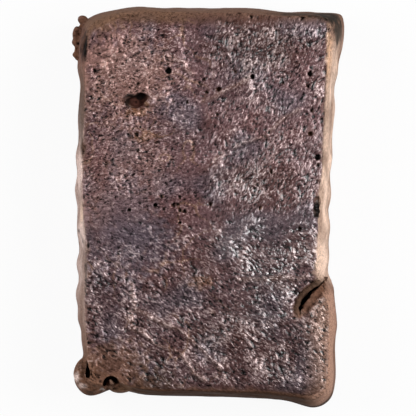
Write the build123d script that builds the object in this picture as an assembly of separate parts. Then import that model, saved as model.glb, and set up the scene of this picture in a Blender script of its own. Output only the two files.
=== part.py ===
"""Cast copper ingot, about two kilograms, lying on its wide pour face.

The casting is one piece of copper. Its mould had sloping walls, so the foot is wider than the
face on top. The metal rose in steps and chilled as it went, which left rippled walls, a cold
shut at the lower right edge, a curl in the lower left corner, splash beads on the upper left
wall, and blow holes and one burst blister in the face.

Frame: X across the width, Y along the length, Z up. The origin is the middle of the foot.
Sizes are in millimetres. A name that ends in share or shares holds fractions of a named size.
"""

import os
from math import atan2, cos, degrees, pi

from build123d import *

# Driving sizes of the block
LENGTH = 120.0
WIDTH = 82.0
THICKNESS = 25.0
FOOT_ROUND = 1.0

# Ripples of the side walls, one scallop for each time that the chilled metal overflowed
RIPPLE_HEIGHT = 0.9
RIPPLE_REACH_SHARE = 0.85

# Swell of the face, lowest where the metal shrank last
SWELL_DEPTH = 1.2
CUT_OVERRUN = 5.0

# Cold shut, where two streams of metal met and didn't fuse
SHUT_WIDTH = 2.0
SHUT_FLOOR_WIDTH = 0.5
SHUT_DEPTH = 9.0

# Curl of metal that set first in the lower left corner
CURL_RING_RADIUS = 3.4
CURL_ROD_RADIUS = 2.5
CURL_DROP = 2.8
CURL_INSET = 0.4

# Gaps between the curl and the block
GAP_WIDTH = 1.0
GAP_LENGTH = 4.8
GAP_DEPTH = 7.0
CRESCENT_WIDTH = 1.3
CRESCENT_RADIUS = 1.4
CRESCENT_START_DEG = 15.0
CRESCENT_SWEEP_DEG = 175.0

# Slit between the face and the right wall
SLIT_WIDTH = 1.5
SLIT_LENGTH = 5.4
SLIT_DEPTH = 1.6

# Splash beads on the upper left wall
BEAD_RADIUS = 1.6

# Burst blister in the face
BLISTER_LENGTH = 7.6
BLISTER_WIDTH = 4.6
BLISTER_DEPTH = 1.4
BLISTER_FLOOR_SHARE = 0.6

# Blow holes in the face
HOLE_RADIUS = 0.75
HOLE_FLOOR_SHARE = 0.3
HOLE_DEPTH = 2.0
HOLE_SIDES = 6

# Stations of the walls from one point of an outline to the next
STATION_STEPS = 2

# Outline of the foot, anticlockwise from the middle of the right side, as shares of half the
# width and half the length. On the two sides each point is the trough between two scallops.
FOOT_SHARES = [
    (0.894, 0.000), (0.902, 0.165), (0.916, 0.340), (0.934, 0.585), (0.965, 0.715), (1.000, 0.845),
    (0.997, 0.940), (0.915, 0.968), (0.567, 0.973), (0.311, 0.993), (0.000, 0.992), (-0.333, 0.993),
    (-0.509, 1.000), (-0.713, 0.978), (-0.856, 0.946), (-0.926, 0.890), (-0.950, 0.735), (-0.932, 0.600),
    (-0.945, 0.335), (-0.955, 0.165), (-0.952, -0.005), (-0.941, -0.210), (-0.944, -0.360), (-0.950, -0.505),
    (-0.926, -0.620), (-0.910, -0.740), (-0.952, -0.805), (-0.975, -0.870), (-0.918, -0.930), (-0.810, -0.945),
    (-0.699, -0.918), (-0.582, -0.928), (-0.421, -0.948), (0.000, -0.954), (0.348, -0.961), (0.589, -0.976),
    (0.762, -1.008), (0.882, -0.978), (0.935, -0.895), (0.940, -0.690), (0.940, -0.490), (0.888, -0.330),
    (0.892, -0.175),
]

# Outline of the face, point by point inside the foot
FACE_SHARES = [
    (0.794, 0.000), (0.830, 0.165), (0.841, 0.340), (0.856, 0.585), (0.868, 0.710), (0.878, 0.830),
    (0.845, 0.915), (0.765, 0.940), (0.545, 0.945), (0.311, 0.955), (0.000, 0.960), (-0.333, 0.963),
    (-0.509, 0.958), (-0.662, 0.935), (-0.787, 0.880), (-0.860, 0.810), (-0.887, 0.700), (-0.889, 0.580),
    (-0.905, 0.335), (-0.915, 0.165), (-0.905, -0.005), (-0.876, -0.200), (-0.876, -0.350), (-0.889, -0.500),
    (-0.882, -0.615), (-0.871, -0.725), (-0.863, -0.790), (-0.838, -0.845), (-0.794, -0.870), (-0.740, -0.872),
    (-0.670, -0.862), (-0.574, -0.880), (-0.406, -0.905), (0.000, -0.910), (0.348, -0.920), (0.582, -0.930),
    (0.735, -0.945), (0.830, -0.920), (0.874, -0.855), (0.882, -0.690), (0.874, -0.505), (0.779, -0.320),
    (0.787, -0.175),
]

# Levels of the wall from foot to face: height, how far in from the foot outline towards the face
# outline, and how much of the ripple shows
LEVEL_SHARES = [
    (0.05, 0.00, 0.7),
    (0.20, 0.02, 1.0),
    (0.38, 0.15, 0.8),
    (0.56, 0.16, 1.0),
    (0.74, 0.32, 0.6),
    (0.88, 0.50, 0.2),
    (0.96, 0.74, 0.0),
    (1.00, 1.05, 0.0),
]

# Sink of the face below the full thickness, rows from the lower end to the upper one
SWELL_SHARES = [
    (0.10, 0.15, 0.10, 0.00),
    (0.20, 0.60, 0.50, 0.10),
    (0.15, 0.70, 0.85, 0.15),
    (0.10, 0.80, 0.90, 0.10),
    (0.15, 0.50, 0.65, 0.05),
    (0.10, 0.10, 0.15, 0.00),
]

# Line of the cold shut from its inner end to past the right wall, and its width there
SHUT_SHARES = [
    (0.666, -0.545, 0.30),
    (0.680, -0.495, 0.85),
    (0.721, -0.450, 1.15),
    (0.801, -0.400, 0.75),
    (0.926, -0.320, 0.45),
]

# Place of the slit, and of the gaps from the middle of the curl as shares of the curl's ring
SLIT_SHARE = (0.798, -0.005)
GAP_SHARE = (-0.41, 0.36)
CRESCENT_SHARE = (1.64, -0.93)

# The point of the foot outline that the curl lies behind
CURL_POINT = 27

# Height of the splash beads up the wall
BEAD_HEIGHT_SHARE = 0.29

# Splash beads: how far round the outline in points, and how far the middle stands out of the wall
# and radius, both in bead radii
BEAD_SHARES = [
    (14.45, 0.50, 0.95),
    (15.10, 0.55, 1.00),
    (15.48, 0.60, 1.04),
    (15.84, 0.50, 0.90),
]

# Rim of the burst blister from its middle, as shares of half its length and half its width
BLISTER_SHARE = (-0.508, 0.520)
BLISTER_RIM_SHARES = [
    (-1.00, -0.10), (-0.72, 0.55), (-0.15, 0.60), (0.20, 1.00), (0.75, 1.05),
    (1.05, 0.65), (0.80, 0.00), (0.50, -0.65), (-0.10, -1.00), (-0.65, -0.80),
]

# Blow holes of the face: place and radius
HOLE_SHARES = [
    (-0.278, 0.670, 0.85),
    (0.087, 0.580, 1.10),
    (0.325, 0.642, 0.75),
    (0.739, 0.657, 0.80),
    (0.747, 0.359, 1.10),
    (0.489, 0.220, 1.00),
    (0.466, 0.175, 0.70),
    (0.798, 0.242, 0.85),
    (-0.517, 0.360, 0.80),
    (-0.503, 0.277, 0.80),
    (-0.562, -0.013, 0.85),
    (-0.376, 0.008, 1.00),
    (-0.235, -0.005, 1.00),
    (-0.197, -0.079, 0.95),
    (0.753, 0.479, 0.75),
]


def in_plan(share, height=0.0):
    """A point of the ingot from its shares of half the width and half the length."""
    return Vector(share[0] * WIDTH / 2, share[1] * LENGTH / 2, height)


def along_outline(shares, place):
    """The point at a place, counted in points, on the smooth closed curve through an outline."""
    first = int(place) - 1
    before, start, end, after = (in_plan(shares[(first + i) % len(shares)]) for i in range(4))
    t = place - int(place)
    bend = before * -1 + start * 3 - end * 3 + after
    swing = before * 2 - start * 5 + end * 4 - after
    return start + ((end - before) * t + swing * t**2 + bend * t**3) / 2


def outward(place):
    """The level direction out of the wall at a place of the foot outline."""
    step = 1 / STATION_STEPS
    along = along_outline(FOOT_SHARES, place + step) - along_outline(FOOT_SHARES, place)
    return Vector(along.Y, -along.X).normalized()


def ripple(place):
    """How far the wall stands out at a place of the foot outline, from 0 in a trough to 1."""
    point = along_outline(FOOT_SHARES, place)
    side = (point.X / (WIDTH / 2)) ** 4
    reach = max(0.0, 1 - (point.Y / (RIPPLE_REACH_SHARE * LENGTH / 2)) ** 4)
    return side * reach * (1 - cos(2 * pi * place)) / 2


def wall_point(place, height_share, inset_share, ripple_share):
    """A point of the wall."""
    foot = along_outline(FOOT_SHARES, place)
    face = along_outline(FACE_SHARES, place)
    scallop = outward(place) * (RIPPLE_HEIGHT * ripple_share * ripple(place))
    return foot + (face - foot) * inset_share + scallop + Vector(0, 0, THICKNESS * height_share)


def closed_outline(points):
    """A smooth closed wire through points, evenly parametrised so that all levels match."""
    steps = [float(i) for i in range(len(points) + 1)]
    return Wire([Edge.make_spline(points, periodic=True, parameters=steps)])


def block():
    """The block with its rippled walls and rounded shoulder, before the face is formed."""
    places = [i / STATION_STEPS for i in range(len(FOOT_SHARES) * STATION_STEPS)]
    underside = [along_outline(FOOT_SHARES, place) - outward(place) * FOOT_ROUND for place in places]
    levels = [closed_outline(underside)]
    for shares in LEVEL_SHARES:
        levels.append(closed_outline([wall_point(place, *shares) for place in places]))
    return Solid.make_loft(levels, ruled=True)


def above_the_face():
    """Everything over the swelling face, to be taken off the block."""
    rows = len(SWELL_SHARES) - 1
    columns = len(SWELL_SHARES[0]) - 1
    grid = []
    for j, row in enumerate(SWELL_SHARES):
        y = (LENGTH + 2 * CUT_OVERRUN) * (j / rows - 1 / 2)
        line = []
        for i, sink in enumerate(row):
            x = (WIDTH + 2 * CUT_OVERRUN) * (i / columns - 1 / 2)
            line.append(Vector(x, y, THICKNESS - SWELL_DEPTH * sink))
        grid.append(line)
    face = Face.make_surface_from_array_of_points(grid)
    return extrude(face, amount=CUT_OVERRUN, dir=(0, 0, 1))


def shut_section(width, height):
    """The outline of the cold shut at one height."""
    line = [in_plan(share, height) for share in SHUT_SHARES]
    middle = Edge.make_spline(line)
    left, right = [], []
    for point, share in zip(line, SHUT_SHARES):
        along = middle.tangent_at(middle.param_at_point(point))
        across = Vector(-along.Y, along.X) * (width * share[2] / 2)
        left.append(point + across)
        right.append(point - across)
    sides = [Edge.make_spline(left), Edge.make_spline(right[::-1])]
    ends = [Edge.make_line(left[-1], right[-1]), Edge.make_line(right[0], left[0])]
    return Wire([sides[0], ends[0], sides[1], ends[1]])


def cold_shut():
    """The crack that narrows downwards from the face."""
    floor = shut_section(SHUT_FLOOR_WIDTH, THICKNESS - SHUT_DEPTH)
    mouth = shut_section(SHUT_WIDTH, THICKNESS)
    over = shut_section(SHUT_WIDTH, THICKNESS + CUT_OVERRUN)
    return Solid.make_loft([floor, mouth]) + Solid.make_loft([mouth, over])


def curl_middle():
    """The middle of the curl's ring, whose rod lies a little inside the foot outline."""
    inset = CURL_RING_RADIUS + CURL_ROD_RADIUS + CURL_INSET
    return along_outline(FOOT_SHARES, CURL_POINT) - outward(CURL_POINT) * inset


def curl():
    """The ring of metal at the lower left corner, its inner side swallowed by the block."""
    height = THICKNESS - CURL_DROP - CURL_ROD_RADIUS
    return Pos(curl_middle() + Vector(0, 0, height)) * Torus(CURL_RING_RADIUS, CURL_ROD_RADIUS)


def corner_gaps():
    """The two dark gaps that the curl leaves beside the block."""
    straight = SlotOverall(GAP_LENGTH, GAP_WIDTH, rotation=90)
    arc = CenterArc((0, 0), CRESCENT_RADIUS, CRESCENT_START_DEG, CRESCENT_SWEEP_DEG)
    crescent = SlotArc(arc, CRESCENT_WIDTH)
    gaps = []
    for outline, share in ((straight, GAP_SHARE), (crescent, CRESCENT_SHARE)):
        middle = curl_middle() + Vector(*share) * CURL_RING_RADIUS
        gap = extrude(outline, amount=GAP_DEPTH + CUT_OVERRUN)
        gaps.append(Pos(middle.X, middle.Y, THICKNESS - GAP_DEPTH) * gap)
    return gaps


def shoulder_slit():
    """The slit between the face and the right wall."""
    slot = SlotOverall(SLIT_LENGTH, SLIT_WIDTH, rotation=90)
    slit = extrude(slot, amount=SLIT_DEPTH + CUT_OVERRUN)
    return Pos(in_plan(SLIT_SHARE, THICKNESS - SLIT_DEPTH)) * slit


def inset_at(height_share):
    """How far in from the foot outline the wall is at a height."""
    for low, high in zip(LEVEL_SHARES, LEVEL_SHARES[1:]):
        if height_share <= high[0]:
            part = (height_share - low[0]) / (high[0] - low[0])
            return low[1] + (high[1] - low[1]) * part
    return LEVEL_SHARES[-1][1]


def beads():
    """Drops of metal that splashed on the mould wall and were caught in the casting."""
    drops = []
    for place, stand_share, radius_share in BEAD_SHARES:
        seat = wall_point(place, BEAD_HEIGHT_SHARE, inset_at(BEAD_HEIGHT_SHARE), 0)
        middle = seat + outward(place) * (BEAD_RADIUS * stand_share)
        drops.append(Pos(middle) * Sphere(BEAD_RADIUS * radius_share))
    return drops


def blister_rim(size_share, height):
    """The rim of the blister, or a smaller one, at a height."""
    middle = in_plan(BLISTER_SHARE, height)
    points = []
    for share in BLISTER_RIM_SHARES:
        reach = Vector(share[0] * BLISTER_LENGTH / 2, share[1] * BLISTER_WIDTH / 2)
        points.append(middle + reach * size_share)
    return closed_outline(points)


def blister():
    """The burst blister, a hollow with a ragged rim and a smaller floor."""
    floor = blister_rim(BLISTER_FLOOR_SHARE, THICKNESS - SWELL_DEPTH - BLISTER_DEPTH)
    return Solid.make_loft([floor, blister_rim(1, THICKNESS)])


def blow_holes():
    """Pits left by gas, each narrower with depth."""
    pits = []
    for hole in HOLE_SHARES:
        radius = HOLE_RADIUS * hole[2]
        depth = HOLE_DEPTH + SWELL_DEPTH
        taper = degrees(atan2(radius * (1 - HOLE_FLOOR_SHARE), depth))
        pit = extrude(RegularPolygon(radius, HOLE_SIDES), amount=depth, taper=taper)
        pits.append(Pos(in_plan(hole, THICKNESS)) * Rot(X=180) * pit)
    return pits


def ingot():
    """The whole casting, with the middle of its foot at the origin."""
    casting = block() - above_the_face()
    casting = casting + [curl(), *beads()]
    casting = casting - [cold_shut(), *corner_gaps(), shoulder_slit(), blister(), *blow_holes()]
    box = casting.bounding_box()
    return Pos(-box.center().X, -box.center().Y, -box.min.Z) * casting


os.makedirs("parts", exist_ok=True)
export_step(ingot(), "parts/copper_ingot.step")
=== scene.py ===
"""Cast copper ingot under its dark oxide skin, on a white floor, seen straight from above.

The piece is a fine copy of the CAD solid, with splash drops and folds of metal fused to it. Its skin is then
sculpted vertex by vertex: lumps, wrinkles that follow the way the metal flowed, laps where one sheet of metal
set over another, and gas pores. The same pass works out the colour of each place, with painted shade in the
hollows, pores, cracks and clefts and behind the drops, and painted highlights on the curl, and both go to the
material as attributes of the mesh. The material adds the grain of the oxide, which is finer than the mesh,
with crests painted pale as painted highlights and valleys painted darker, partly as painted shade.

Lengths are in millimetres until they meet Blender, which works in metres. A name that ends in share or
shares holds fractions of half the width and half the length, or of another named size.
"""

import math

import bmesh
import bpy
import numpy as np
from mathutils import Matrix, Vector, noise
from mathutils.bvhtree import BVHTree
from mathutils.kdtree import KDTree


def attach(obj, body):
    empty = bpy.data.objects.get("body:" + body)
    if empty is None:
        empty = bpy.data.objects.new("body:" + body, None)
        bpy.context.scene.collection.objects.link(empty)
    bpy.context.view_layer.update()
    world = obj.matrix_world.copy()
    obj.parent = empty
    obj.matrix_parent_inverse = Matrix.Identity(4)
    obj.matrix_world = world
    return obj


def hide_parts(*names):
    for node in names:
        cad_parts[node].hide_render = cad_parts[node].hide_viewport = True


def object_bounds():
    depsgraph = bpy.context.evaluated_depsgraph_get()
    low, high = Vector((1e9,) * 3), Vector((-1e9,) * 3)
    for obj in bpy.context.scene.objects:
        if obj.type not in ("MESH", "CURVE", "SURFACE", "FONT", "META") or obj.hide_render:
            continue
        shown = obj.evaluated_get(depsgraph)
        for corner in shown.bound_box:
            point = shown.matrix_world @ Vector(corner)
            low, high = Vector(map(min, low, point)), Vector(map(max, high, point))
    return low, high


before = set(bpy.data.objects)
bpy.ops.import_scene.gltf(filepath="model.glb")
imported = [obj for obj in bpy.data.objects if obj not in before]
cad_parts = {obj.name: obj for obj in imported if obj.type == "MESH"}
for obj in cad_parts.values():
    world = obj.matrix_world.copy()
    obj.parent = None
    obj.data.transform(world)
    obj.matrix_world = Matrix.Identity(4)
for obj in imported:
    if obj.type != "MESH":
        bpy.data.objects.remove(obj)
cad_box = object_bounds()

# Driving sizes, in millimetres
MM = 0.001
HALF_WIDTH = 41.0
HALF_LENGTH = 60.0
THICKNESS = 25.0
SKIN_PITCH = 0.34
MERGE_REACH = 0.001
SOFTEN_STEPS = 5
TRIANGLE_LIMIT = 194000

# Relief of the face: size of a bump and its height to either side, how far wrinkles wander, the size of
# smoother patches, and the room that the relief keeps below the top of the solid
SWELL_SIZE = 9.0
SWELL_HEIGHT = 0.45
LUMP_SIZE = 3.2
LUMP_HEIGHT = 0.55
LUMP_STRETCH = 1.5
WRINKLE_SIZE = 1.10
WRINKLE_HEIGHT = 0.28
WARP_SIZE = 5.0
WARP_REACH = 0.9
PATCH_SIZE = 7.0
RELIEF_ROOM = 0.9
TOP_MARGIN = 0.02

# Edges of the face that sag towards the wall
RIGHT_SAG = 0.7
RIGHT_SAG_SHARES = (0.66, 0.88)
RIGHT_SAG_TOP_SHARES = (0.75, 0.60)
RIGHT_SAG_BOTTOM_SHARES = (-0.34, -0.24)
BOTTOM_SAG = 1.4
BOTTOM_SAG_SHARES = (-0.84, -0.98)

# Fine wrinkles and the grain of the oxide, shown only by the material, and the grain's strength off the face
FINE_SIZE = 0.60
FINE_DEPTH = 0.26
GRAIN_SIZE = 0.50
WALL_GRAIN = 0.25
SHOULDER_GRAIN = 0.60

# Relief of the walls: lines that run along them and lobes that set one after another
WALL_LINE_SIZE = 2.6
WALL_LINE_LENGTH = 16.0
WALL_LINE_HEIGHT = 0.42
WALL_LOBE_SIZE = 6.0
WALL_LOBE_HEIGHT = 0.40
WALL_SET_BACK_SHARE = 0.5
FOOT_BAND = (0.6, 3.0)

# How far up a normal points where the face's relief and its colour take over from the walls, how ragged these
# two lines are, how far the normals spread to soften the second, and where the face is level enough to gleam
FACE_TURN = (0.60, 0.93)
EDGE_WAVE_SIZE = 3.5
EDGE_WAVE = 2.0
SOFT_TURN = (0.62, 0.96)
SOFT_WAVE = 0.15
SPREAD_STEPS = 100
LEVEL_TURN = (0.90, 0.985)
UPWARD_TURN = (0.2, 0.6)
SIDE_TURN = (0.1, 0.55)

# Where the kinds of wrinkle give way to each other, across and along the face, and oval spots as place and
# reach: the gleaming part, the curl, and two smooth corners with the share of grain that each keeps
RIGHT_SHARES = (-0.30, 0.22)
LOWER_SHARES = (0.10, -0.25)
TOP_BAND_SHARES = (0.87, 0.96)
BOTTOM_BAND_SHARES = (-0.84, -0.98)
LOBE_SHARES = (-0.37, -0.44)
BEAD_SHARES = ((-0.890, -0.910), (0.68, 0.71))
GLEAM_SHARE = (0.45, -0.20, 0.52, 0.42)
CURL_SHARE = (-0.80, -0.88, 0.24, 0.11)
SMOOTH_CORNER_SHARES = ((-0.86, 0.86, 0.24, 0.20, 0.0), (-0.72, -0.82, 0.34, 0.20, 0.5))

# Direction of the wrinkles in degrees, and how much longer than wide they are
UPPER_RIGHT_FLOW = (62, 1.9)
LOWER_FLOW = (-34, 2.0)
LEFT_FLOW = (10, 1.5)

# Laps: crests where a sheet of metal set over another, as points across and along the face
LAP_HEIGHT = 0.65
LAP_REACH = 1.2
LAP_SHARES = (
    ((-0.759, 0.683), (-0.740, 0.723), (-0.687, 0.745), (-0.622, 0.750)),
    ((-0.274, 0.745), (-0.187, 0.723), (-0.165, 0.680), (-0.113, 0.655)),
    ((-0.547, -0.373), (-0.520, -0.487)),
    ((-0.555, -0.525), (-0.547, -0.600), (-0.421, -0.640), (-0.296, -0.698), (-0.184, -0.727)),
    ((-0.520, -0.505), (-0.184, -0.620), (-0.015, -0.717), (0.083, -0.803)),
    ((-0.184, -0.727), (-0.099, -0.832), (-0.015, -0.860)),
    ((0.223, -0.354), (0.460, -0.354), (0.713, -0.344)),
    ((0.187, 0.295), (0.289, 0.320), (0.424, 0.355), (0.530, 0.435), (0.677, 0.485)),
    ((-0.033, 0.525), (0.230, 0.602), (0.318, 0.648)),
)

# Gas pores: places across and along the face, and radius in mm
PORE_SHARES = (
    (-0.282, 0.675, 0.65), (-0.501, 0.610, 0.55), (-0.816, 0.675, 0.45), (-0.150, 0.515, 0.45),
    (-0.516, 0.360, 0.60), (-0.501, 0.280, 0.45), (-0.026, 0.630, 0.50), (-0.004, 0.570, 0.45),
    (0.201, 0.670, 0.45), (0.282, 0.640, 0.40), (0.326, 0.645, 0.50), (0.545, 0.615, 0.40),
    (0.743, 0.660, 0.55), (0.728, 0.600, 0.45), (0.757, 0.480, 0.55), (0.070, 0.460, 0.40),
    (0.691, 0.935, 0.55), (0.230, 0.960, 0.40), (0.318, 0.940, 0.45), (0.465, 0.175, 0.45),
    (0.362, 0.110, 0.45), (0.801, 0.245, 0.50), (0.801, 0.205, 0.45), (0.026, 0.015, 0.50),
    (0.384, -0.005, 0.45), (0.670, -0.105, 0.50), (-0.567, -0.015, 0.45), (-0.377, 0.010, 0.45),
    (-0.333, 0.055, 0.50), (-0.318, -0.010, 0.45), (-0.245, 0.010, 0.55), (-0.216, 0.010, 0.50),
    (-0.201, -0.015, 0.50), (-0.165, -0.020, 0.45), (-0.201, -0.080, 0.40), (-0.201, 0.050, 0.40),
    (-0.943, 0.814, 0.50),
)
PORE_DEPTH_SHARE = 1.3
PORE_EDGE_SHARES = (0.85, 1.5)

# Colours that the oxide and the copper take. Black, brown and the lip's dark brown also serve as painted
# shade, and the glint, the pink and the pale crest colour as painted highlights
TONES = {
    "skin": "745456", "red": "6f4641", "lavender": "786a74", "tan": "d4aa8c", "warm": "a87e73",
    "rust": "9c6b45", "light_brown": "82614c", "curl": "7c5947", "vein": "a8805f", "brown": "4e3629",
    "olive": "2a2520", "grey_brown": "8c7264", "grey_dark": "5a4a41", "dark_red": "4a2a23",
    "copper": "fbd9c2", "pink": "f8dcd2", "glint": "e0d2ca", "wall": "7e5f50", "lobe": "b68e7a",
    "bead": "745448", "shaded_lip": "5a4436", "slope": "7a5644", "violet": "4c4450", "black": "0d0908",
    "pale_crest_highlight": "a89894", "floor": "f2f2f2",
}

# Sizes of the patches, veins and streaks of colour, and how strong the broad shades are
RED_SIZE = 9.0
VEIN_SIZE = 6.5
VEIN_WIDTH_SHARE = 0.06
VEIN_SHARES = (0.35, -0.25)
LAVENDER_SIZE = 12.0
STREAK_SIZE = 5.0
STREAK_LENGTH = 20.0
SMUDGE_SIZE = 3.0
WOBBLE_SIZE = 1.6
WOBBLE_SHARE = 0.65
MARK_BAND = (9.0, 18.0)
MARK_FOOT_SHARE = 0.1
SHADE_SIZE = 11.0
SHADE_SHARE = 0.30
LOWER_SHADE_SHARE = 0.26

# Stains, painted shade and painted highlights: place and reach across and along the ingot, strength and
# colour; later ones lie on top
STAIN_AND_PAINTED_LIGHT_SHARES = (
    (-0.604, 0.660, 0.366, 0.225, 0.70, "warm"), (-0.580, 0.180, 0.300, 0.260, 0.35, "warm"),
    (0.350, 0.800, 0.360, 0.150, 0.70, "dark_red"), (0.420, 0.120, 0.260, 0.100, 0.50, "dark_red"),
    (0.130, 0.150, 0.180, 0.090, 0.45, "dark_red"), (-0.420, -0.190, 0.220, 0.140, 0.50, "violet"),
    (-0.800, -0.020, 0.120, 0.120, 0.50, "warm"), (-0.420, -0.880, 0.200, 0.080, 0.80, "brown"),
    (-0.940, 0.500, 0.050, 0.200, 0.70, "grey_dark"), (0.300, -0.690, 0.360, 0.160, 0.50, "dark_red"),
    # The black mark here is painted shade in the crack on the left shoulder
    (-0.890, -0.350, 0.012, 0.100, 0.90, "black"), (-0.787, 0.935, 0.161, 0.065, 0.75, "light_brown"),
    (-0.421, 0.955, 0.329, 0.045, 0.55, "light_brown"), (-0.362, 0.840, 0.102, 0.040, 0.60, "red"),
    # The black mark here is a painted shadow between the drops and the wall
    (-0.905, 0.800, 0.026, 0.080, 1.00, "black"), (-0.600, -0.100, 0.300, 0.300, 0.50, "lavender"),
    # The black marks at the blister, on this line and the next, are painted shade at its edge
    (-0.501, 0.520, 0.105, 0.042, 0.95, "dark_red"), (-0.509, 0.548, 0.090, 0.014, 0.95, "black"),
    (-0.575, 0.518, 0.022, 0.030, 0.90, "black"), (-0.440, 0.512, 0.022, 0.014, 0.80, "light_brown"),
    (-0.501, 0.465, 0.095, 0.020, 0.55, "rust"), (-0.450, 0.350, 0.102, 0.030, 0.40, "rust"),
    (-0.040, -0.370, 0.088, 0.035, 0.40, "rust"), (0.896, 0.945, 0.132, 0.045, 0.95, "olive"),
    (0.965, 0.870, 0.040, 0.070, 0.90, "olive"), (0.677, 0.965, 0.176, 0.018, 0.65, "olive"),
    (0.882, 0.775, 0.026, 0.140, 0.90, "tan"), (0.904, 0.435, 0.020, 0.100, 0.55, "grey_brown"),
    (0.933, 0.610, 0.029, 0.070, 0.55, "grey_brown"), (0.801, -0.010, 0.026, 0.055, 0.95, "olive"),
    # The olive mark at the end of the line above and the black one here are painted shade in the slit
    (0.797, -0.010, 0.016, 0.040, 0.85, "black"), (0.838, -0.275, 0.059, 0.075, 0.75, "copper"),
    # The brown mark here is painted shade in a cleft of the left wall
    (-0.905, 0.290, 0.026, 0.040, 0.90, "brown"), (-0.937, 0.170, 0.026, 0.090, 0.75, "pink"),
    (-0.926, -0.040, 0.013, 0.065, 0.80, "copper"), (-0.933, -0.140, 0.040, 0.065, 0.80, "pink"),
    (-0.948, -0.120, 0.012, 0.009, 0.95, "black"), (-0.929, -0.145, 0.012, 0.009, 0.95, "black"),
    # The last black mark here is painted shade in a cleft of the left wall
    (-0.915, -0.170, 0.014, 0.010, 0.95, "black"), (-0.867, -0.190, 0.012, 0.030, 0.90, "black"),
    # The brown mark here is painted shade beside the gap by the curl
    (-0.860, -0.865, 0.146, 0.085, 0.85, "curl"), (-0.905, -0.805, 0.026, 0.040, 0.80, "brown"),
    # Both pink marks here are painted highlights on the curl
    (-0.955, -0.845, 0.030, 0.028, 1.00, "pink"), (-0.911, -0.890, 0.032, 0.016, 0.75, "pink"),
    (-0.680, -0.790, 0.270, 0.130, 0.70, "curl"), (-0.700, -0.885, 0.030, 0.014, 0.60, "grey_brown"),
    # The glint mark here is a painted highlight on the curl's rim
    (-0.743, -0.910, 0.029, 0.008, 0.70, "glint"), (-0.633, -0.910, 0.080, 0.022, 0.80, "light_brown"),
)

# Dents: place and reach across and along the ingot, and depth in mm; a lump has a depth below zero
DENT_SHARES = (
    (-0.910, 0.800, 0.017, 0.080, 0.8), (-0.867, -0.190, 0.012, 0.030, 0.6),
    (-0.890, -0.350, 0.012, 0.100, 0.7), (-0.703, -0.890, 0.030, 0.018, 1.2),
    (-0.443, 0.510, 0.022, 0.016, -0.7),
)

# Where the walls are worn to copper, along the ingot, and how much
RIGHT_WORN_SHARES = ((-0.42, -0.32), (0.94, 0.70))
LEFT_WORN_SHARES = ((-0.80, -0.15), (0.62, 0.15))
LEFT_WORN = 0.75
WORN_RISE = (-4.0, 9.0)

# How metallic and how dull the skin of the face, the walls and their worn parts are
SKIN_METAL = 0.45
WORN_METAL = 0.45
SKIN_DULL = 0.36
WALL_DULL = 0.75
WORN_DULL = 0.50

# The cold shut: its line from the wall inwards, and the valley that leads down to it
SHUT_SHARES = ((0.926, -0.320), (0.801, -0.400), (0.721, -0.450), (0.680, -0.495), (0.666, -0.545))
SHUT_FADE_SHARES = (0.75, 1.0)
SHUT_RISE_SHARES = (0.05, 0.25)
VALLEY_LEFT_REACH = 3.2
VALLEY_LEFT_DEPTH = 3.5
VALLEY_RIGHT_REACH = 4.5
VALLEY_RIGHT_DEPTH = 2.6

# A hollow is a place whose slanting lines of sight are mostly blocked, and its colour is painted towards
# black as painted shade. Its rim is ragged, and the sides of the cold shut and of the gap beside the curl are
# drawn together
HOLLOW_REACH = 7.0
HOLLOW_RAYS = 6
HOLLOW_RISE_DEG = 35
HOLLOW_LIFT = 0.15
HOLLOW_SHADE_BAND = (0.45, 1.0)
HOLLOW_SHADE_STRENGTH = 0.5
RAGGED_SIZE = 1.3
RAGGED_REACH = 0.5
RAGGED_SHARES = ((-0.505, 0.515, 0.130, 0.058), (0.801, -0.010, 0.036, 0.066))
PINCH_SHARES = (0.55, 0.0)
PINCH_REACH = 0.65
PINCH_NEAR = 1.5
WEDGE_SHARES = (-0.877, -0.775, 0.034, 0.045)
WEDGE_PULL_SHARE = 0.9
INNER_BAND = (0.15, 0.45)

# Drops and folds of metal: place across, along and up in shares, radii in mm, turn in degrees
DROP_SHARES = (
    ((-0.916, 0.9325, 0.30), (1.50, 1.50, 1.50), 0),
    ((-0.962, 0.8650, 0.29), (1.40, 2.60, 1.60), -8),
    ((-0.943, 0.8140, 0.33), (1.35, 1.35, 1.35), 0),
    ((-0.963, 0.7580, 0.29), (0.95, 2.20, 1.20), 6),
    ((-0.845, -0.8700, 0.60), (5.00, 4.60, 6.50), 0),
    ((-0.633, -0.8900, 0.66), (4.20, 2.40, 4.50), 0),
)
DROP_RINGS = 16

# Floor, camera and lights; a lamp has an azimuth and an elevation in degrees, and a power in watts
FLOOR_REACH = 4000.0
FLOOR_GLOW_SHARE = 0.93
CAMERA_DISTANCE = 2500.0
VIEW_WIDTH = 124.8
SENSOR_WIDTH = 36.0
VIEW_CENTRE = (0.15, -0.3)
LAMP_DISTANCE = 800.0
LAMP_WIDTH = 600.0
KEY_LAMP = (10, 42, 6.0)
FILL_LAMP = (165, 40, 3.8)


def smoothstep(low, high, value):
    """0 at low and 1 at high, with a smooth change between them."""
    t = min(1.0, max(0.0, (value - low) / (high - low)))
    return t * t * (3 - 2 * t)


def in_plan(shares):
    """A place on the face, in millimetres, from its shares across and along."""
    return Vector((shares[0] * HALF_WIDTH, shares[1] * HALF_LENGTH))


def crest(place):
    """A wrinkled field, from about -1 in the valleys to 1 on sharp crests."""
    return 1 - 3.2 * abs(noise.noise(place))


def flow(place, direction, size):
    """A place measured in wrinkles that run across the face in a direction."""
    angle_deg, stretch = direction
    angle = math.radians(angle_deg)
    along = place.x * math.cos(angle) + place.y * math.sin(angle)
    across = place.y * math.cos(angle) - place.x * math.sin(angle)
    return Vector((along / (size * stretch), across / size, place.z / size))


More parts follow.
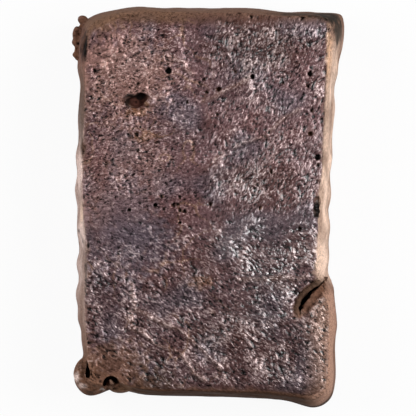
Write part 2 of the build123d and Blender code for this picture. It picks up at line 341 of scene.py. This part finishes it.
class Line:
    """A line of straight spans across the face, with the box that it stays near."""

    def __init__(self, shares, reach):
        self.points = [in_plan(pair) for pair in shares]
        self.low = Vector((min(p.x for p in self.points) - reach, min(p.y for p in self.points) - reach))
        self.high = Vector((max(p.x for p in self.points) + reach, max(p.y for p in self.points) + reach))

    def near(self, place):
        """True if a place is in the line's box."""
        return self.low.x < place.x < self.high.x and self.low.y < place.y < self.high.y

    def distance(self, place):
        """Distance in plan, positive to the left of the line's run, and the share run along it."""
        best, best_run = math.inf, 0.0
        flat = Vector((place.x, place.y))
        for k, (start, end) in enumerate(zip(self.points, self.points[1:])):
            span = end - start
            offset = flat - start
            run = min(1.0, max(0.0, offset.dot(span) / span.length_squared))
            gap = (offset - span * run).length
            if gap < abs(best):
                best = math.copysign(gap, span.x * offset.y - span.y * offset.x)
                best_run = (k + run) / (len(self.points) - 1)
        return best, best_run


def casting_copy():
    """An evenly meshed copy of the CAD solid, with the drops and folds fused to it."""
    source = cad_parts["copper_ingot"].data.copy()
    shape = bmesh.new()
    shape.from_mesh(source)
    bmesh.ops.remove_doubles(shape, verts=shape.verts, dist=MERGE_REACH * MM)
    for (across, along, up), radii, turn_deg in DROP_SHARES:
        place = in_plan((across, along)).to_3d() + Vector((0, 0, up * THICKNESS))
        turn = Matrix.Rotation(math.radians(turn_deg), 4, "Z")
        stretch = Matrix.Diagonal((*(radius * MM for radius in radii), 1))
        bmesh.ops.create_uvsphere(shape, u_segments=2 * DROP_RINGS, v_segments=DROP_RINGS, radius=1,
                                  matrix=Matrix.Translation(place * MM) @ turn @ stretch)
    shape.to_mesh(source)
    shape.free()
    piece = bpy.data.objects.new("ingot_casting", source)
    bpy.context.collection.objects.link(piece)
    remesh = piece.modifiers.new("even_mesh", "REMESH")
    remesh.mode = "VOXEL"
    remesh.voxel_size = SKIN_PITCH * MM
    soften = piece.modifiers.new("soften_edges", "SMOOTH")
    soften.factor = 0.5
    soften.iterations = SOFTEN_STEPS
    return piece


def apply_modifiers(piece):
    """Turns what the modifiers show into the piece's own mesh."""
    graph = bpy.context.evaluated_depsgraph_get()
    finished = bpy.data.meshes.new_from_object(piece.evaluated_get(graph))
    piece.modifiers.clear()
    piece.data = finished


def linear(hex_colour):
    """A hex sRGB colour as linear red, green, blue and alpha."""
    channels = [int(hex_colour[i:i + 2], 16) / 255 for i in (0, 2, 4)]
    return [c / 12.92 if c <= 0.04045 else ((c + 0.055) / 1.055) ** 2.4 for c in channels] + [1.0]


def shut_valley(shut, place):
    """Depth of the valley beside the cold shut, its share of the full depth, and the side of the shut."""
    if not shut.near(place):
        return 0.0, 0.0, 0
    gap, run = shut.distance(place)
    fade = (1 - smoothstep(*SHUT_FADE_SHARES, run)) * smoothstep(*SHUT_RISE_SHARES, run)
    if gap < 0:
        near = fade * smoothstep(VALLEY_LEFT_REACH, 0, -gap)
        return VALLEY_LEFT_DEPTH * near, near, -1
    near = fade * smoothstep(VALLEY_RIGHT_REACH, 0, gap)
    return VALLEY_RIGHT_DEPTH * near, near, 1


def hollowness(tree, place, normal):
    """Share of the slanting lines of sight that leave a place and meet metal nearby."""
    start = place + normal * (HOLLOW_LIFT * MM)
    rise = math.radians(HOLLOW_RISE_DEG)
    met, free = 0, 0
    for k in range(HOLLOW_RAYS):
        turn = 2 * math.pi * k / HOLLOW_RAYS
        ray = Vector((math.cos(turn) * math.cos(rise), math.sin(turn) * math.cos(rise), math.sin(rise)))
        if ray.dot(normal) > 0:
            free += 1
            met += tree.ray_cast(start, ray, HOLLOW_REACH * MM)[0] is not None
    return met / max(1, free)


def oval(across, along, spot):
    """Distance from the middle of an oval spot, where 1 is its edge, or infinity when far outside it."""
    x = (across - spot[0]) / spot[2]
    y = (along - spot[1]) / spot[3]
    return math.hypot(x, y) if abs(x) < 2 and abs(y) < 2 else math.inf


def spread_normals(mesh, steps):
    """Normals of the vertices, shared out among neighbours a step at a time, so that edges turn softly."""
    count = len(mesh.vertices)
    normals = np.empty(3 * count)
    mesh.vertices.foreach_get("normal", normals)
    normals = normals.reshape(count, 3)
    ends = np.empty(2 * len(mesh.edges), dtype=int)
    mesh.edges.foreach_get("vertices", ends)
    starts, stops = ends[0::2], ends[1::2]
    neighbours = np.maximum(1, np.bincount(ends, minlength=count))
    for axis in range(3):
        for _ in range(steps):
            values = normals[:, axis]
            total = np.bincount(starts, values[stops], count) + np.bincount(stops, values[starts], count)
            normals[:, axis] = (values + total / neighbours) / 2
    return [Vector(normal) for normal in normals]


def face_relief(place, across, along, laps):
    """Height of the face, its crest, gleam and share of grain, and how near a lap a place is."""
    right = smoothstep(*RIGHT_SHARES, across)
    lower = smoothstep(*LOWER_SHARES, along)
    band = (1 - smoothstep(*TOP_BAND_SHARES, along)) * (1 - smoothstep(*BOTTOM_BAND_SHARES, along))
    warped = place + noise.noise_vector(place / WARP_SIZE) * WARP_REACH
    swell = noise.noise(place / SWELL_SIZE)
    patch = smoothstep(-0.22, 0.12, noise.noise(place / PATCH_SIZE))
    lump_flow = (UPPER_RIGHT_FLOW[0] * (1 - lower) + LOWER_FLOW[0] * lower, LUMP_STRETCH)
    lump = noise.noise(flow(warped, lump_flow, LUMP_SIZE))
    wrinkle = lower * crest(flow(warped, LOWER_FLOW, WRINKLE_SIZE))
    if lower < 1:
        upper = right * crest(flow(warped, UPPER_RIGHT_FLOW, WRINKLE_SIZE))
        upper += (1 - right) * crest(flow(warped, LEFT_FLOW, WRINKLE_SIZE))
        wrinkle += (1 - lower) * upper
    glancing = max(right, 0.5 * lower)
    rough = (0.75 + 0.25 * glancing) * (0.55 + 0.45 * patch) * (0.15 + 0.85 * band)
    height = SWELL_HEIGHT * swell + rough * (LUMP_HEIGHT * lump + WRINKLE_HEIGHT * (wrinkle - 0.35))
    lap = 0.0
    for line in laps:
        if line.near(warped):
            gap, _ = line.distance(warped)
            lap = max(lap, smoothstep(LAP_REACH, 0, abs(gap)))
    ridge = rough * (0.65 * wrinkle + 0.5 * lump) + 0.3 * lap
    spot = smoothstep(1.2, 0.4, oval(across, along, GLEAM_SHARE))
    strip = smoothstep(*RIGHT_SAG_SHARES, across) * smoothstep(*RIGHT_SAG_TOP_SHARES, along)
    strip *= smoothstep(*RIGHT_SAG_BOTTOM_SHARES, along)
    gleam = rough * (0.38 + 0.22 * glancing + 0.85 * spot) + 0.25 * strip
    gleam += 0.5 * smoothstep(*LOBE_SHARES, along) * smoothstep(*RIGHT_SAG_SHARES, across)
    gleam *= smoothstep(0.8, 1.2, oval(across, along, CURL_SHARE))
    for corner in SMOOTH_CORNER_SHARES:
        kept = corner[4] + (1 - corner[4]) * smoothstep(0.3, 1.3, oval(across, along, corner))
        band *= kept
        gleam *= kept
    return height + LAP_HEIGHT * lap, ridge, gleam, band, lap


def dent_depth(across, along):
    """Depth of the dents at a place."""
    return sum(spot[4] * (1 - smoothstep(0.4, 1.2, oval(across, along, spot))) for spot in DENT_SHARES)


def face_sag(across, along):
    """How far the right and the bottom edge of the face sag at a place."""
    right = smoothstep(*RIGHT_SAG_TOP_SHARES, along) * smoothstep(*RIGHT_SAG_BOTTOM_SHARES, along)
    right *= RIGHT_SAG * smoothstep(*RIGHT_SAG_SHARES, across) ** 2
    return right + BOTTOM_SAG * smoothstep(*BOTTOM_SAG_SHARES, along) ** 2


def wall_relief(place):
    """Height of the walls, below zero but for the tops of their lines and lobes."""
    line_place = Vector((place.x / WALL_LINE_LENGTH, place.y / WALL_LINE_LENGTH, place.z / WALL_LINE_SIZE))
    height = WALL_LINE_HEIGHT * (noise.noise(line_place) - WALL_SET_BACK_SHARE)
    return height + WALL_LOBE_HEIGHT * (noise.noise(place / WALL_LOBE_SIZE) - WALL_SET_BACK_SHARE)


def nearest_pore(pores, place):
    """How much of a place the nearest pore takes up, from 0 outside it to 1, and its radius."""
    _, nearest, gap = pores.find((place.x, place.y, 0))
    radius = PORE_SHARES[nearest][2]
    wobble = WOBBLE_SHARE * noise.noise(place / radius)
    return 1 - smoothstep(*PORE_EDGE_SHARES, gap / radius + wobble), radius


def wall_tone(place, along, normal):
    """Colour of the walls, and how worn they are: copper where the mould rubbed them, else dull oxide,
    painted darker brown as painted shade where they face -Y.
    """
    right = smoothstep(*SIDE_TURN, normal.x)
    right *= smoothstep(*RIGHT_WORN_SHARES[0], along) * smoothstep(*RIGHT_WORN_SHARES[1], along)
    left = LEFT_WORN * smoothstep(*SIDE_TURN, -normal.x)
    left *= smoothstep(*LEFT_WORN_SHARES[0], along) * smoothstep(*LEFT_WORN_SHARES[1], along)
    line_place = Vector((place.x / STREAK_LENGTH, place.y / STREAK_LENGTH, place.z / STREAK_SIZE))
    streak = smoothstep(-0.35, 0.15, noise.noise(line_place))
    lobe = smoothstep(-0.35, 0.15, noise.noise(place / WALL_LOBE_SIZE))
    smudge = smoothstep(-0.4, 0.1, noise.noise(place / SMUDGE_SIZE))
    worn = (0.65 + 0.35 * streak) * (0.5 + 0.5 * lobe) * (0.65 + 0.35 * smudge)
    worn *= smoothstep(*WORN_RISE, place.z)
    # Painted shade: walls that face -Y go towards dark brown
    tone = palette["wall"].lerp(palette["brown"], smoothstep(*SIDE_TURN, -normal.y))
    tone = tone.lerp(palette["copper"], right * worn)
    return tone.lerp(palette["pink"], left * worn), max(left, right) * worn


def skin_tone(place, across, along):
    """Colour of the skin: purple-brown with red and lavender patches, copper veins and brown ends."""
    tone = palette["skin"].lerp(palette["red"], 0.4 * smoothstep(0.0, 0.35, noise.noise(place / RED_SIZE)))
    tone = tone.lerp(palette["lavender"], 0.6 * smoothstep(0.0, -0.4, noise.noise(place / LAVENDER_SIZE)))
    lower = LOWER_SHADE_SHARE * smoothstep(*LOWER_SHARES, along)
    tone *= 1 + SHADE_SHARE * noise.noise(place / SHADE_SIZE) - lower
    wavy = place + noise.noise_vector(place / LUMP_SIZE) * WARP_REACH
    vein = smoothstep(VEIN_WIDTH_SHARE, 0, abs(noise.noise(wavy / VEIN_SIZE)))
    vein *= smoothstep(*VEIN_SHARES, across)
    tone = tone.lerp(palette["vein"], 0.5 * vein * smoothstep(-0.2, 0.2, noise.noise(place / LAVENDER_SIZE)))
    tone = tone.lerp(palette["light_brown"], 0.6 * smoothstep(*TOP_BAND_SHARES, along))
    return tone.lerp(palette["brown"], 0.8 * smoothstep(*BOTTOM_BAND_SHARES, along))


def with_stains_and_painted_light(tone, place, across, along):
    """A colour with the stains, painted shade and painted highlights at a place laid over it."""
    wobble = WOBBLE_SHARE * noise.noise(place / WOBBLE_SIZE)
    fade = MARK_FOOT_SHARE + (1 - MARK_FOOT_SHARE) * smoothstep(*MARK_BAND, place.z)
    for spot in STAIN_AND_PAINTED_LIGHT_SHARES:
        off = oval(across, along, spot)
        if off < math.inf:
            strength = fade * spot[4] * (1 - smoothstep(0.5, 1.3, off + wobble))
            tone = tone.lerp(palette[spot[5]], strength)
    return tone


def sculpt_skin(mesh):
    """Gives the skin its relief, and keeps its colour, painted shade and painted highlights included, and its
    finish for the material.
    """
    count = len(mesh.vertices)
    told = {name: [0.0] * count for name in ("metal", "dull", "crest", "gleam", "grain")}
    tones = []
    tree = BVHTree.FromPolygons([v.co for v in mesh.vertices], [p.vertices for p in mesh.polygons])
    laps = [Line(shares, LAP_REACH) for shares in LAP_SHARES]
    shut = Line(SHUT_SHARES, VALLEY_RIGHT_REACH)
    pores = KDTree(len(PORE_SHARES))
    for k, (x, y, _) in enumerate(PORE_SHARES):
        pores.insert(in_plan((x, y)).to_3d(), k)
    pores.balance()
    cad_top = cad_box[1][2] / MM
    soft_normals = spread_normals(mesh, SPREAD_STEPS)
    moved = []
    for i, vertex in enumerate(mesh.vertices):
        place = vertex.co / MM
        across = place.x / HALF_WIDTH
        along = place.y / HALF_LENGTH
        normal = vertex.normal
        soft = soft_normals[i]
        wave = noise.noise(place / EDGE_WAVE_SIZE)
        face = smoothstep(*FACE_TURN, normal.z - EDGE_WAVE * (1 - normal.z) * max(0.0, wave))
        skin = smoothstep(*SOFT_TURN, soft.z - SOFT_WAVE * wave)
        upward = smoothstep(*UPWARD_TURN, normal.z)
        height = -dent_depth(across, along) * smoothstep(*FOOT_BAND, place.z)
        gleam, band, lap = 0.0, 1.0, 0.0
        if face > 0:
            relief, ridge, gleam, band, lap = face_relief(place, across, along, laps)
            set_back = max(0.0, RELIEF_ROOM - (cad_top - place.z))
            height += face * (relief - face_sag(across, along) - set_back)
            told["crest"][i] = face * ridge
        wall = (1 - face) * smoothstep(*FOOT_BAND, place.z)
        if wall > 0:
            height += wall * wall_relief(place)
        valley, near_shut, shut_side = shut_valley(shut, place)
        height -= valley * upward
        closed_in = hollowness(tree, vertex.co, normal)
        # Painted shade: the more closed in a place is, the more its colour goes towards black
        hollow_shade = HOLLOW_SHADE_STRENGTH * smoothstep(*HOLLOW_SHADE_BAND, closed_in)
        if place.z < FOOT_BAND[1]:
            hollow_shade = 0.0
        if upward > 0:
            pore, radius = nearest_pore(pores, place)
            height -= pore * PORE_DEPTH_SHARE * radius
            # A pore is painted black as painted shade, besides being dug out
            hollow_shade = max(hollow_shade, pore)
            closed_in = max(closed_in, pore)
        lobe = smoothstep(*LOBE_SHARES, along) * smoothstep(*SIDE_TURN, across)
        lobe *= smoothstep(*RIGHT_SAG_SHARES, across) * smoothstep(*MARK_BAND, place.z)
        tone, worn = wall_tone(place, along, soft)
        tone = tone.lerp(skin_tone(place, across, along), skin)
        tone = tone.lerp(palette["lobe"], 0.8 * lobe).lerp(palette["vein"], 0.15 * face * lap)
        bead = smoothstep(*BEAD_SHARES[0], across) * smoothstep(*BEAD_SHARES[1], along)
        tone = tone.lerp(palette["bead"], bead)
        inner = smoothstep(*INNER_BAND, closed_in)
        tone = tone.lerp(palette["slope"], inner)
        # Painted shade: the upper-left lip of the cold shut is painted dark brown
        tone = tone.lerp(palette["shaded_lip" if shut_side < 0 else "slope"], near_shut)
        # Stains, painted shade and painted highlights are laid on, then hollows and pores are painted towards
        # black as painted shade
        tone = with_stains_and_painted_light(tone, place, across, along).lerp(palette["black"], hollow_shade)
        tones.extend((*tone, 1.0))
        worn_wall = worn * (1 - skin)
        told["metal"][i] = SKIN_METAL * skin + WORN_METAL * worn_wall
        told["dull"][i] = WALL_DULL + (SKIN_DULL - WALL_DULL) * skin + (WORN_DULL - WALL_DULL) * worn_wall
        gleam *= skin * max(smoothstep(*LEVEL_TURN, normal.z), 0.8 * lobe)
        told["gleam"][i] = gleam * (1 - inner) * (1 - near_shut) * (1 - bead)
        face_grain = skin * (0.35 + 0.65 * band) * (1 - bead)
        wall_grain = WALL_GRAIN + (SHOULDER_GRAIN - WALL_GRAIN) * upward * (1 - worn)
        lobe_grain = 0.8 * lobe * (0.5 + 0.5 * upward)
        told["grain"][i] = max(face_grain, wall_grain, lobe_grain) * (1 - 0.6 * inner)
        if shut_side and abs(normal.z) < UPWARD_TURN[1]:
            gap, run = shut.distance(place)
            if abs(gap) < PINCH_NEAR:
                mouth = smoothstep(*SHUT_RISE_SHARES, run)
                height += mouth * PINCH_REACH * (0.6 + 0.4 * smoothstep(*PINCH_SHARES, run))
                place = place + noise.noise_vector(place / RAGGED_SIZE) * RAGGED_REACH * mouth
        place = place + normal * height
        pull = WEDGE_PULL_SHARE * smoothstep(1.1, 0.3, oval(across, along, WEDGE_SHARES))
        place.x += (WEDGE_SHARES[0] * HALF_WIDTH - place.x) * pull
        ragged = max(face * smoothstep(1.5, 0.9, oval(across, along, spot)) for spot in RAGGED_SHARES)
        if ragged == 0 and hollow_shade > 0:
            ragged = smoothstep(0.2, 0.5, closed_in) * (1 - bead)
        if ragged > 0:
            place += noise.noise_vector(place / RAGGED_SIZE) * RAGGED_REACH * ragged
        place.z = min(max(place.z, 0), cad_top - TOP_MARGIN)
        moved.append(place * MM)
    for vertex, place in zip(mesh.vertices, moved):
        vertex.co = place
    for name, values in told.items():
        mesh.attributes.new(name, "FLOAT", "POINT").data.foreach_set("value", values)
    mesh.attributes.new("tone", "FLOAT_COLOR", "POINT").data.foreach_set("color", tones)


palette = {name: Vector(linear(hex_colour)[:3]) for name, hex_colour in TONES.items()}

piece = casting_copy()
apply_modifiers(piece)
sculpt_skin(piece.data)
thin = piece.modifiers.new("thin_flat_areas", "DECIMATE")
thin.ratio = min(1.0, TRIANGLE_LIMIT / (2 * len(piece.data.polygons)))
apply_modifiers(piece)
for polygon in piece.data.polygons:
    polygon.use_smooth = True


def add(tree, kind, settings=None, inputs=None):
    """A new node. Settings are its own properties. Inputs are values, or (node, output) to link from."""
    node = tree.nodes.new(kind)
    for name, value in (settings or {}).items():
        setattr(node, name, value)
    for name, value in (inputs or {}).items():
        if isinstance(value, tuple) and hasattr(value[0], "outputs"):
            tree.links.new(value[0].outputs[value[1]], node.inputs[name])
        else:
            node.inputs[name].default_value = value
    return node


def oxide_skinned_copper():
    """Cast copper that cooled in air: a grainy oxide skin, darker in its valleys, partly as painted shade,
    with shining crests from a glassy film and from painted highlights.
    """
    material = bpy.data.materials.new("oxide_skinned_cast_copper")
    material.use_nodes = True
    tree = material.node_tree
    tree.nodes.clear()
    smooth = {"interpolation_type": "SMOOTHSTEP"}
    told = {name: add(tree, "ShaderNodeAttribute", {"attribute_name": name})
            for name in ("metal", "dull", "crest", "gleam", "grain", "tone")}
    place = add(tree, "ShaderNodeTexCoord")

    # Grain, drawn out the way the metal flowed in each part of the face
    spread = add(tree, "ShaderNodeSeparateXYZ", None, {0: (place, "Object")})
    right = add(tree, "ShaderNodeMapRange", smooth,
                {"Value": (spread, "X"), "From Min": RIGHT_SHARES[0] * HALF_WIDTH * MM,
                 "From Max": RIGHT_SHARES[1] * HALF_WIDTH * MM})
    lower = add(tree, "ShaderNodeMapRange", smooth,
                {"Value": (spread, "Y"), "From Min": LOWER_SHARES[1] * HALF_LENGTH * MM,
                 "From Max": LOWER_SHARES[0] * HALF_LENGTH * MM, "To Min": 1.0, "To Max": 0.0})
    ridges, grains = [], []
    for angle_deg, stretch in (LEFT_FLOW, UPPER_RIGHT_FLOW, LOWER_FLOW):
        turned = add(tree, "ShaderNodeMapping", {"vector_type": "TEXTURE"},
                     {"Vector": (place, "Object"), "Rotation": (0, 0, math.radians(angle_deg)),
                      "Scale": (FINE_SIZE * stretch * MM, FINE_SIZE * MM, FINE_SIZE * MM)})
        ridges.append(add(tree, "ShaderNodeTexNoise", {"noise_type": "RIDGED_MULTIFRACTAL"},
                          {"Vector": (turned, 0), "Scale": 1.0, "Detail": 1.5, "Distortion": 0.6}))
        grains.append(add(tree, "ShaderNodeTexNoise", None,
                          {"Vector": (turned, 0), "Scale": FINE_SIZE / GRAIN_SIZE,
                           "Detail": 2.0, "Distortion": 0.9}))
    blends = []
    for left_field, right_field, lower_field in (ridges, grains):
        upper = add(tree, "ShaderNodeMix", None, {0: (right, 0), 2: (left_field, 0), 3: (right_field, 0)})
        blends.append(add(tree, "ShaderNodeMix", None, {0: (lower, 0), 2: (upper, 0), 3: (lower_field, 0)}))
    fine, grain = blends
    fading = add(tree, "ShaderNodeMath", {"operation": "MULTIPLY"}, {0: (fine, 0), 1: (told["grain"], "Fac")})
    bump = add(tree, "ShaderNodeBump", None,
               {"Strength": 0.8, "Distance": FINE_DEPTH * MM, "Height": (fading, 0)})
    full = add(tree, "ShaderNodeMapRange", None, {"Value": (grain, 0), "From Min": 0.36, "From Max": 0.64})
    level = add(tree, "ShaderNodeMix", None, {0: (told["grain"], "Fac"), 2: 0.5, 3: (full, 0)})

    # Colour: the tone of the place, darker in the valleys of the grain and relief, partly grain and partly
    # painted shade, and pale on its crests as painted highlights
    raised = add(tree, "ShaderNodeMath", {"operation": "MULTIPLY_ADD"},
                 {0: (told["crest"], "Fac"), 1: 0.8, 2: (level, 0)})
    shade = add(tree, "ShaderNodeMapRange", None,
                {"Value": (raised, 0), "From Min": 0.0, "From Max": 0.62, "To Min": 0.03, "To Max": 1.08})
    shaded = add(tree, "ShaderNodeMix", {"data_type": "RGBA", "blend_type": "MULTIPLY"},
                 {0: 1.0, 6: (told["tone"], "Color"), 7: (shade, 0)})
    edge = add(tree, "ShaderNodeMath", {"operation": "MULTIPLY_ADD"},
               {0: (fine, 0), 1: 0.5, 2: (raised, 0)})
    # Painted highlight: the crests of the fine ridges and the relief are painted pale
    pale = add(tree, "ShaderNodeMapRange", smooth,
               {"Value": (edge, 0), "From Min": 0.80, "From Max": 1.40, "To Max": 1.0})
    shining = add(tree, "ShaderNodeMath", {"operation": "MULTIPLY"},
                  {0: (pale, 0), 1: (told["grain"], "Fac")})
    colour = add(tree, "ShaderNodeMix", {"data_type": "RGBA", "blend_type": "ADD"},
                 {0: (shining, 0), 6: (shaded, 2), 7: linear(TONES["pale_crest_highlight"])})

    # The skin is smoother than the walls, and a glassy film lies on its level parts, less so at a slant
    slant = add(tree, "ShaderNodeLayerWeight", None, {"Blend": 0.5})
    shown = add(tree, "ShaderNodeMapRange", None,
                {"Value": (slant, "Facing"), "From Min": 0.1, "From Max": 0.7, "To Min": 1.0, "To Max": 0.25})
    film = add(tree, "ShaderNodeMath", {"operation": "MULTIPLY"}, {0: (told["gleam"], "Fac"), 1: (shown, 0)})
    shader = add(tree, "ShaderNodeBsdfPrincipled", None,
                 {"Base Color": (colour, 2), "Metallic": (told["metal"], "Fac"),
                  "Roughness": (told["dull"], "Fac"), "Specular IOR Level": 0.05, "Normal": (bump, 0),
                  "Coat Weight": (film, 0), "Coat Roughness": 0.27, "Coat IOR": 2.0,
                  "Coat Normal": (bump, 0)})
    add(tree, "ShaderNodeOutputMaterial", None, {"Surface": (shader, 0)})
    return material


piece.data.materials.clear()
piece.data.materials.append(oxide_skinned_copper())
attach(piece, "root")
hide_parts("copper_ingot")


# Floor, world, lights and camera
def white_floor():
    """A white floor that keeps a faint shadow and shows white in the metal."""
    material = bpy.data.materials.new("white_floor_paint")
    material.use_nodes = True
    tree = material.node_tree
    tree.nodes.clear()
    path = add(tree, "ShaderNodeLightPath")
    direct = add(tree, "ShaderNodeMath", {"operation": "MAXIMUM"},
                 {0: (path, "Is Camera Ray"), 1: (path, "Is Glossy Ray")})
    seen = add(tree, "ShaderNodeMath", {"operation": "MAXIMUM"},
               {0: (direct, 0), 1: (path, "Is Transmission Ray")})
    share = add(tree, "ShaderNodeMath", {"operation": "MULTIPLY"}, {0: (seen, 0), 1: FLOOR_GLOW_SHARE})
    paint = add(tree, "ShaderNodeBsdfDiffuse", None, {"Color": linear(TONES["floor"])})
    glow = add(tree, "ShaderNodeEmission", None, {"Strength": 1.0})
    mixed = add(tree, "ShaderNodeMixShader", None, {0: (share, 0), 1: (paint, 0), 2: (glow, 0)})
    add(tree, "ShaderNodeOutputMaterial", None, {"Surface": (mixed, 0)})
    return material


floor_shape = bmesh.new()
bmesh.ops.create_grid(floor_shape, x_segments=1, y_segments=1, size=FLOOR_REACH * MM)
floor_mesh = bpy.data.meshes.new("floor")
floor_shape.to_mesh(floor_mesh)
floor_shape.free()
floor = bpy.data.objects.new("floor", floor_mesh)
floor.data.materials.append(white_floor())
bpy.context.collection.objects.link(floor)

world = bpy.data.worlds.new("studio")
bpy.context.scene.world = world
world.use_nodes = True
tree = world.node_tree
tree.nodes.clear()
direction = add(tree, "ShaderNodeTexCoord")
parts = add(tree, "ShaderNodeSeparateXYZ", None, {0: (direction, "Generated")})
band = add(tree, "ShaderNodeMapRange", {"interpolation_type": "SMOOTHSTEP"},
           {"Value": (parts, "Z"), "From Min": 0.15, "From Max": 0.5, "To Min": 0.8, "To Max": 0.02})
sky = add(tree, "ShaderNodeBackground", None, {"Strength": (band, 0)})
add(tree, "ShaderNodeOutputWorld", None, {"Surface": (sky, 0)})


def softbox(name, azimuth_deg, elevation_deg, power):
    """A square soft light that faces the ingot."""
    lamp = bpy.data.lights.new(name, "AREA")
    lamp.size = LAMP_WIDTH * MM
    lamp.energy = power
    holder = bpy.data.objects.new(name, lamp)
    a, e = math.radians(azimuth_deg), math.radians(elevation_deg)
    place = Vector((math.cos(a) * math.cos(e), math.sin(a) * math.cos(e), math.sin(e))) * (LAMP_DISTANCE * MM)
    holder.location = place
    holder.rotation_euler = place.to_track_quat("Z", "Y").to_euler()
    holder.visible_camera = False
    bpy.context.collection.objects.link(holder)


softbox("key_softbox", *KEY_LAMP)
softbox("fill_softbox", *FILL_LAMP)

camera = bpy.data.cameras.new("camera")
camera.sensor_width = SENSOR_WIDTH
camera.lens = SENSOR_WIDTH * CAMERA_DISTANCE / VIEW_WIDTH
holder = bpy.data.objects.new("camera", camera)
holder.location = Vector((*VIEW_CENTRE, CAMERA_DISTANCE)) * MM
bpy.context.collection.objects.link(holder)
bpy.context.scene.camera = holder
bpy.context.scene.view_settings.view_transform = "Standard"
